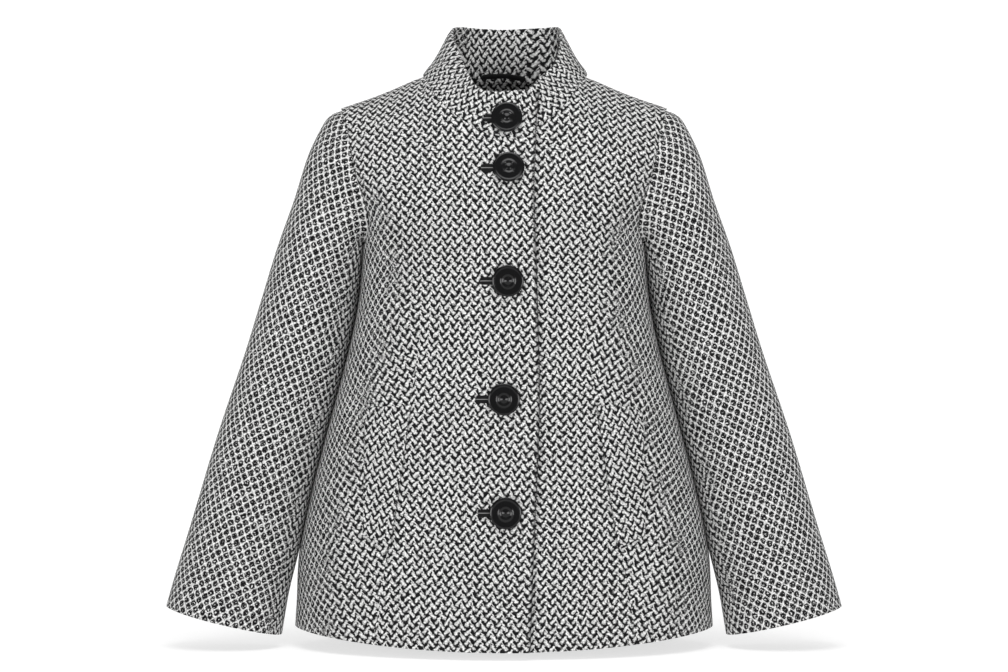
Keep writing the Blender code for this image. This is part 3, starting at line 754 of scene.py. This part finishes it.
def mark_front_edge_shade(bm):
    """Note the folded edge down the front, on the right front and the collar's upper end, where the
    cloth gets painted shade.
    """
    # The mask fold marks where the material paints a line of shade down the front edge
    fold = bm.verts.layers.float.new("fold")
    for edge in bm.edges:
        run = edge.verts[0].co - edge.verts[1].co
        middle = (edge.verts[0].co + edge.verts[1].co) / 2
        upright = abs(run.z) > 1.5 * abs(run.x)
        in_front = FRONT_EDGE[0] < middle.x < FRONT_EDGE[1] and middle.y < 0.0
        if edge.is_boundary and upright and in_front:
            for vertex in edge.verts:
                vertex[fold] = 1.0


def stand_off(node, place):
    """How far the worn-in cloth stands off its solid: squarer shoulders, collar and cuffs.

    Each ease has the range, in mm, over which a change builds up.
    """
    x, z = place.x / MM, place.z / MM
    side = math.copysign(1.0, x)
    if node == "collar":
        up = ease(z, -8.0, 16.0)
        left = COLLAR_SPREAD_LEFT * ease(x, 20.0, 50.0)
        right = COLLAR_SPREAD_RIGHT * ease(-x, 46.0, 62.0)
        foot = ease(place.y / MM, 25.0, 50.0) * (1 - ease(z, 8.0, 16.0))
        rise = COLLAR_RAISE * ease(z, 20.0, 60.0) - COLLAR_FOOT_DROP * foot
        return Vector(((left - right) * up, 0.0, rise)) * MM
    beside = (abs(x) - SHOULDER_CORNER[0]) / SHOULDER_SPREAD[0]
    below = min(z - SHOULDER_CORNER[1], 0.0) / SHOULDER_SPREAD[1]
    corner = math.exp(-(beside**2)) * math.exp(-(below**2))
    move = Vector((0.6 * side, 0.0, 0.8)) * SHOULDER_PUSH * corner
    if node.startswith("sleeve"):
        inner = 1 - ease(abs(x), 266.0, 403.0)
        move.z += (CUFF_LIFT + CUFF_LIFT_INSIDE * inner) * ease(-z, 540.0, 645.0)
    return move * MM


def shape_cloth(bm, piece):
    """Lay in the soft folds and the seams, and note where the weave looks open."""
    seam = bm.verts.layers.float["seam"]
    open_weave = bm.verts.layers.float.new("open_weave")
    bm.normal_update()
    sleeve = piece.node.startswith("sleeve")
    side = math.copysign(1.0, piece.place[0])
    moves = {}
    for vertex in bm.verts:
        normal = vertex.normal
        turned = normal.x * side if sleeve else abs(normal.x)
        vertex[open_weave] = ease(turned, *(OPEN_SLEEVE if sleeve else OPEN_BODY))
        # The folds are lines seen from one side, so the far side of a piece has none
        far = normal.dot(Vector(piece.facing)) <= -0.2 or (sleeve and normal.y > 0.3)
        lift = 0.0 if far else fold_height(piece, vertex.co)
        lift -= SEAM_DEPTH * MM * vertex[seam] ** 3
        moves[vertex] = normal * lift
        if not piece.node.startswith("pocket"):
            moves[vertex] += stand_off(piece.node, vertex.co)
        if piece.node.startswith(("front", "back", "sleeve")):
            start, full, end, stop = CONTACT_HEIGHTS
            height = vertex.co.z / MM
            touch = (1 - ease(height, full, start)) * ease(height, stop, end)
            touch *= ease(-turned if sleeve else turned, *CONTACT_TURN)
            moves[vertex].x += math.copysign(touch * CONTACT_PUSH * MM, normal.x)
    for vertex, move in moves.items():
        vertex.co += move


def add_cloth(context, piece, material, wall):
    """One piece of cloth on the form of its solid, with its weave, folds, seams and thickness."""
    bm = outer_sheet(piece.node, piece.facing)
    mark_seams(bm, piece.node)
    if piece.node.startswith("sleeve"):
        mark_underarm_seam(bm, math.copysign(1.0, piece.place[0]))
    layers = ("cut", "weave") if piece.node.startswith("front") else ("weave",)
    obj = lay_flat(context, piece.node + "_cloth", bm, layers)
    bm = bmesh.new()
    bm.from_mesh(obj.data)
    sizes = [set_grain(bm, piece, layer) for layer in layers]
    if len(layers) > 1:
        bm.loops.layers.uv.remove(bm.loops.layers.uv["cut"])
    for dart in DARTS:
        if dart.node == piece.node:
            sew_dart(bm, dart)
    shape_cloth(bm, piece)
    # The right front and the collar get the mask of painted shade along the front edge
    if piece.node in ("front_right", "collar"):
        mark_front_edge_shade(bm)
    for face in bm.faces:
        face.smooth = True
    bm.to_mesh(obj.data)
    bm.free()
    obj.data.materials.append(material)
    thickness = obj.modifiers.new("thickness", "SOLIDIFY")
    thickness.thickness = wall
    thickness.offset = -1.0
    thickness.use_even_offset = True
    edge = obj.modifiers.new("turned edge", "BEVEL")
    edge.width = wall * EDGE_SHARE
    edge.segments = 2
    edge.limit_method = "ANGLE"
    edge.angle_limit = math.radians(60)
    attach(obj, "root")
    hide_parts(piece.node)


class JACKET_OT_body(bpy.types.Operator):
    """Cut and hang the two fronts and the back"""

    bl_idname = "jacket.body"
    bl_label = "Fronts and back"

    def execute(self, context):
        tweed = context.scene.jacket_tweed
        material = tweed_material(tweed)
        for piece in BODY_PIECES:
            add_cloth(context, piece, material, tweed.wall)
        return {"FINISHED"}


class JACKET_OT_sleeves(bpy.types.Operator):
    """Cut the sleeves and set them in the armholes"""

    bl_idname = "jacket.sleeves"
    bl_label = "Sleeves"

    def execute(self, context):
        tweed = context.scene.jacket_tweed
        material = bpy.data.materials["wool tweed, woven"]
        for piece in SLEEVE_PIECES:
            add_cloth(context, piece, material, tweed.wall)
        return {"FINISHED"}


class JACKET_OT_collar(bpy.types.Operator):
    """Cut the stand collar and set it on the neck"""

    bl_idname = "jacket.collar"
    bl_label = "Collar"

    def execute(self, context):
        tweed = context.scene.jacket_tweed
        material = bpy.data.materials["wool tweed, woven"]
        add_cloth(context, COLLAR_PIECE, material, tweed.collar_wall)
        return {"FINISHED"}


class JACKET_OT_welts(bpy.types.Operator):
    """Lay the pocket welts on the fronts"""

    bl_idname = "jacket.welts"
    bl_label = "Pocket welts"

    def execute(self, context):
        tweed = context.scene.jacket_tweed
        material = bpy.data.materials["wool tweed, woven"]
        for piece in WELT_PIECES:
            add_cloth(context, piece, material, tweed.wall * WELT_SHARE)
        return {"FINISHED"}


def finish_piece(obj, node, material):
    """Give a trim its material and say which solid it stands for."""
    obj.data.materials.append(material)
    for face in obj.data.polygons:
        face.use_smooth = True
    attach(obj, "root")
    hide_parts(node)


def button_material(trim):
    """Polished casein or polyester button, turned: deep black, glossy, with faint patches of haze.
    """
    rows = (
        ("place", "ShaderNodeTexCoord", {}, {}),
        # Handling haze in patches of about 8 mm
        ("haze", "ShaderNodeTexNoise", {"Scale": 120.0, "Detail": 3.0}, {"Vector": ("place", 3)}),
        ("gloss", "ShaderNodeMapRange", {"To Min": 0.08, "To Max": 0.16}, {"Value": ("haze", 0)}),
        ("tint", "ShaderNodeMapRange", {"To Min": 0.8, "To Max": 1.3}, {"Value": ("haze", 0)}),
        ("black", "ShaderNodeVectorMath", {"operation": "SCALE", 0: trim.button_black[:3]},
         {"Scale": ("tint", 0)}),
        {"Base Color": ("black", 0), "Roughness": ("gloss", 0)},
    )
    shader = {"IOR": 1.5, "Specular IOR Level": 0.3}
    return make_material("black button, turned and polished", shader, rows)


class JACKET_OT_buttons(bpy.types.Operator):
    """Turn the buttons and seat them on the front opening"""

    bl_idname = "jacket.buttons"
    bl_label = "Buttons"

    def execute(self, context):
        material = button_material(context.scene.jacket_trim)
        for number in BUTTONS:
            node = "button_" + number
            points = np.array([vertex.co for vertex in frame["nodes"][node].data.vertices])
            middle = points.mean(0)
            axis = np.linalg.svd(points - middle)[2][2]
            axis = -axis if axis[1] > 0 else axis
            seat = Vector(middle + axis * ((points - middle) @ axis).min())
            bm = bmesh.new()
            rings = [
                bm.verts.new((ring.radius * MM, 0.0, ring.height * MM)) for ring in BUTTON_RINGS
            ]
            edges = [bm.edges.new(pair) for pair in zip(rings, rings[1:])]
            bmesh.ops.spin(
                bm, geom=rings + edges, axis=(0, 0, 1), cent=(0, 0, 0), steps=BUTTON_STEPS,
                angle=2 * math.pi, use_merge=True,
            )
            bmesh.ops.remove_doubles(bm, verts=bm.verts, dist=MERGE)
            bmesh.ops.recalc_face_normals(bm, faces=bm.faces)
            turn = Vector(axis).to_track_quat("Z", "Y").to_matrix().to_4x4()
            bmesh.ops.transform(bm, matrix=Matrix.Translation(seat) @ turn, verts=bm.verts)
            obj = add_object(context, node + "_turned", bm)
            finish_piece(obj, node, material)
        return {"FINISHED"}


def binding_material(trim):
    """Black wool-silk binding, folded: matt black lips with a slight sheen and a paler slit."""
    rows = (
        ("slit", "ShaderNodeAttribute", {"attribute_name": "slit"}, {}),
        ("place", "ShaderNodeTexCoord", {}, {}),
        # Threads of the binding, about 0.8 mm apart, drawn coarse enough to show
        ("threads", "ShaderNodeTexNoise", {"Scale": 1200.0, "Detail": 1.0},
         {"Vector": ("place", 3)}),
        ("tone", "ShaderNodeMapRange", {"To Min": 0.5, "To Max": 1.6}, {"Value": ("threads", 0)}),
        ("black", "ShaderNodeVectorMath", {"operation": "SCALE", 0: trim.binding_black[:3]},
         {"Scale": ("tone", 0)}),
        ("colour", "ShaderNodeMix", {"data_type": "RGBA", 7: linear("#8C8C8C")},
         {"Factor": ("slit", "Fac"), 6: ("black", 0)}),
        ("bump", "ShaderNodeBump", {"Strength": 0.4, "Distance": 0.0003},
         {"Height": ("threads", 0)}),
        {"Base Color": ("colour", 2), "Normal": ("bump", 0)},
    )
    shader = {"Roughness": 0.75, "Specular IOR Level": 0.15, "Sheen Weight": 0.02}
    return make_material("black binding, folded", shader, rows)


def soften_solid(context, node, name):
    """Copy of a small solid with rounded edges."""
    bm = merged_copy(node)
    join_quads(bm)
    obj = add_object(context, name, bm)
    refine(context, obj)
    return obj


class JACKET_OT_buttonholes(bpy.types.Operator):
    """Bind the buttonholes"""

    bl_idname = "jacket.buttonholes"
    bl_label = "Bound buttonholes"

    def execute(self, context):
        material = binding_material(context.scene.jacket_trim)
        for number in BUTTONS:
            node = "buttonhole_" + number
            obj = soften_solid(context, node, node + "_bound")
            points = np.array([vertex.co for vertex in obj.data.vertices])
            line = np.polyfit(points[:, 0], points[:, 2], 1)
            slit = obj.data.attributes.new("slit", "FLOAT", "POINT")
            for index, point in enumerate(points):
                off = abs(point[2] - np.polyval(line, point[0]))
                slit.data[index].value = 1.0 if off < SLIT_HALF else 0.0
            finish_piece(obj, node, material)
        return {"FINISHED"}


def tape_material(trim):
    """Black grosgrain tape, woven: close ribs across it and a dull shine."""
    rows = (
        ("place", "ShaderNodeTexCoord", {}, {}),
        ("ribs", "ShaderNodeTexWave", {"Scale": WAVE / trim.rib, "Distortion": 0.4},
         {"Vector": ("place", 3)}),
        ("tone", "ShaderNodeMapRange", {"To Min": 0.6, "To Max": 1.5}, {"Value": ("ribs", 1)}),
        ("black", "ShaderNodeVectorMath", {"operation": "SCALE", 0: trim.binding_black[:3]},
         {"Scale": ("tone", 0)}),
        ("bump", "ShaderNodeBump", {"Strength": 0.5, "Distance": 0.0003}, {"Height": ("ribs", 1)}),
        {"Base Color": ("black", 0), "Normal": ("bump", 0)},
    )
    shader = {"Roughness": 0.55, "Specular IOR Level": 0.2}
    return make_material("black grosgrain tape, woven", shader, rows)


class JACKET_OT_hanger_loop(bpy.types.Operator):
    """Sew the hanger loop into the neck"""

    bl_idname = "jacket.hanger_loop"
    bl_label = "Hanger loop"

    def execute(self, context):
        obj = soften_solid(context, "hanger_loop", "hanger_loop_tape")
        finish_piece(obj, "hanger_loop", tape_material(context.scene.jacket_trim))
        return {"FINISHED"}


def opal_material(stage):
    """Opal acrylic, lit from below as on a light table: plain, pale, matt, with a faint shadow."""
    rows = (
        ("place", "ShaderNodeTexCoord", {}, {}),
        # Grain of about 2.5 mm, hardly seen
        ("grain", "ShaderNodeTexNoise", {"Scale": 400.0}, {"Vector": ("place", 3)}),
        ("tone", "ShaderNodeMapRange", {"To Min": 0.41, "To Max": 0.43}, {"Value": ("grain", 0)}),
        ("white", "ShaderNodeVectorMath", {"operation": "SCALE", 0: stage.floor_white[:3]},
         {"Scale": ("tone", 0)}),
        {"Base Color": ("white", 0)},
    )
    shader = {"Roughness": 1.0, "Specular IOR Level": 0.0,
              "Emission Color": (1.0, 1.0, 1.0, 1.0), "Emission Strength": 0.67}
    return make_material("opal acrylic, lit", shader, rows)


def add_floor(context, stage):
    """Floor that bends up into a wall well behind the jacket."""
    bm = bmesh.new()
    line = [(FLOOR_FRONT, 0.0), (FLOOR_REACH, 0.0)]
    for step in range(1, FLOOR_BEND_STEPS + 1):
        turn = math.pi / 2 * step / FLOOR_BEND_STEPS
        line.append(
            (FLOOR_REACH + FLOOR_BEND * math.sin(turn), FLOOR_BEND * (1 - math.cos(turn)))
        )
    line.append((FLOOR_REACH + FLOOR_BEND, WALL_HEIGHT))
    row = [bm.verts.new((-FLOOR_WIDTH / 2, y, FLOOR_HEIGHT + z)) for y, z in line]
    edges = [bm.edges.new(pair) for pair in zip(row, row[1:])]
    out = bmesh.ops.extrude_edge_only(bm, edges=edges)
    moved = [item for item in out["geom"] if isinstance(item, bmesh.types.BMVert)]
    bmesh.ops.translate(bm, verts=moved, vec=(FLOOR_WIDTH, 0.0, 0.0))
    bmesh.ops.recalc_face_normals(bm, faces=bm.faces)
    floor = add_object(context, "floor", bm)
    for face in floor.data.polygons:
        face.use_smooth = True
    floor.data.materials.append(opal_material(stage))


def add_lights(context, stage):
    """Even room light and the soft lights of the studio."""
    world = bpy.data.worlds.new("studio")
    world.use_nodes = True
    background = world.node_tree.nodes["Background"]
    background.inputs["Color"].default_value = (1.0, 1.0, 1.0, 1.0)
    background.inputs["Strength"].default_value = stage.sky
    context.scene.world = world
    for light in LIGHTS:
        lamp = bpy.data.lights.new(light.name, "AREA")
        lamp.energy = getattr(stage, light.power)
        lamp.shape = "RECTANGLE"
        lamp.size = light.width
        lamp.size_y = light.height
        obj = bpy.data.objects.new(light.name, lamp)
        obj.location = light.place
        towards = Vector(light.aim) - Vector(light.place)
        obj.rotation_euler = towards.to_track_quat("-Z", "Y").to_euler()
        context.scene.collection.objects.link(obj)


def add_camera(context, stage):
    """Camera straight in front, at the photo's distance and width."""
    lens = bpy.data.cameras.new("camera")
    lens.sensor_width = SENSOR
    lens.sensor_fit = "HORIZONTAL"
    lens.lens = SENSOR * stage.camera_distance / stage.view_width
    camera = bpy.data.objects.new("camera", lens)
    camera.location = (0.0, -stage.camera_distance, CAMERA_HEIGHT)
    camera.rotation_euler = (math.pi / 2, 0.0, 0.0)
    context.scene.collection.objects.link(camera)
    context.scene.camera = camera
    context.scene.view_settings.view_transform = "Standard"


class JACKET_OT_stage(bpy.types.Operator):
    """Set up the floor, the backdrop, the light and the camera"""

    bl_idname = "jacket.stage"
    bl_label = "Stage"

    def execute(self, context):
        stage = context.scene.jacket_stage
        add_floor(context, stage)
        add_lights(context, stage)
        add_camera(context, stage)
        return {"FINISHED"}


class JACKET_PT_pieces(bpy.types.Panel):
    """Pieces of the jacket in the order they are made"""

    bl_idname = "JACKET_PT_pieces"
    bl_label = "Tweed jacket"
    bl_space_type = "VIEW_3D"
    bl_region_type = "UI"
    bl_category = "Jacket"

    def draw(self, context):
        for operator in OPERATORS:
            self.layout.operator(operator.bl_idname)


SETTINGS = (TweedSettings, TrimSettings, StageSettings)
OPERATORS = (
    JACKET_OT_body, JACKET_OT_sleeves, JACKET_OT_collar, JACKET_OT_welts, JACKET_OT_buttons,
    JACKET_OT_buttonholes, JACKET_OT_hanger_loop, JACKET_OT_stage,
)


def register():
    for group in SETTINGS + OPERATORS + (JACKET_PT_pieces,):
        bpy.utils.register_class(group)
    bpy.types.Scene.jacket_tweed = bpy.props.PointerProperty(type=TweedSettings)
    bpy.types.Scene.jacket_trim = bpy.props.PointerProperty(type=TrimSettings)
    bpy.types.Scene.jacket_stage = bpy.props.PointerProperty(type=StageSettings)


def unregister():
    del bpy.types.Scene.jacket_stage
    del bpy.types.Scene.jacket_trim
    del bpy.types.Scene.jacket_tweed
    for group in reversed(SETTINGS + OPERATORS + (JACKET_PT_pieces,)):
        bpy.utils.unregister_class(group)


def main():
    register()
    bpy.ops.jacket.body()
    bpy.ops.jacket.sleeves()
    bpy.ops.jacket.collar()
    bpy.ops.jacket.welts()
    bpy.ops.jacket.buttons()
    bpy.ops.jacket.buttonholes()
    bpy.ops.jacket.hanger_loop()
    bpy.ops.jacket.stage()


if __name__ == "__main__":
    main()
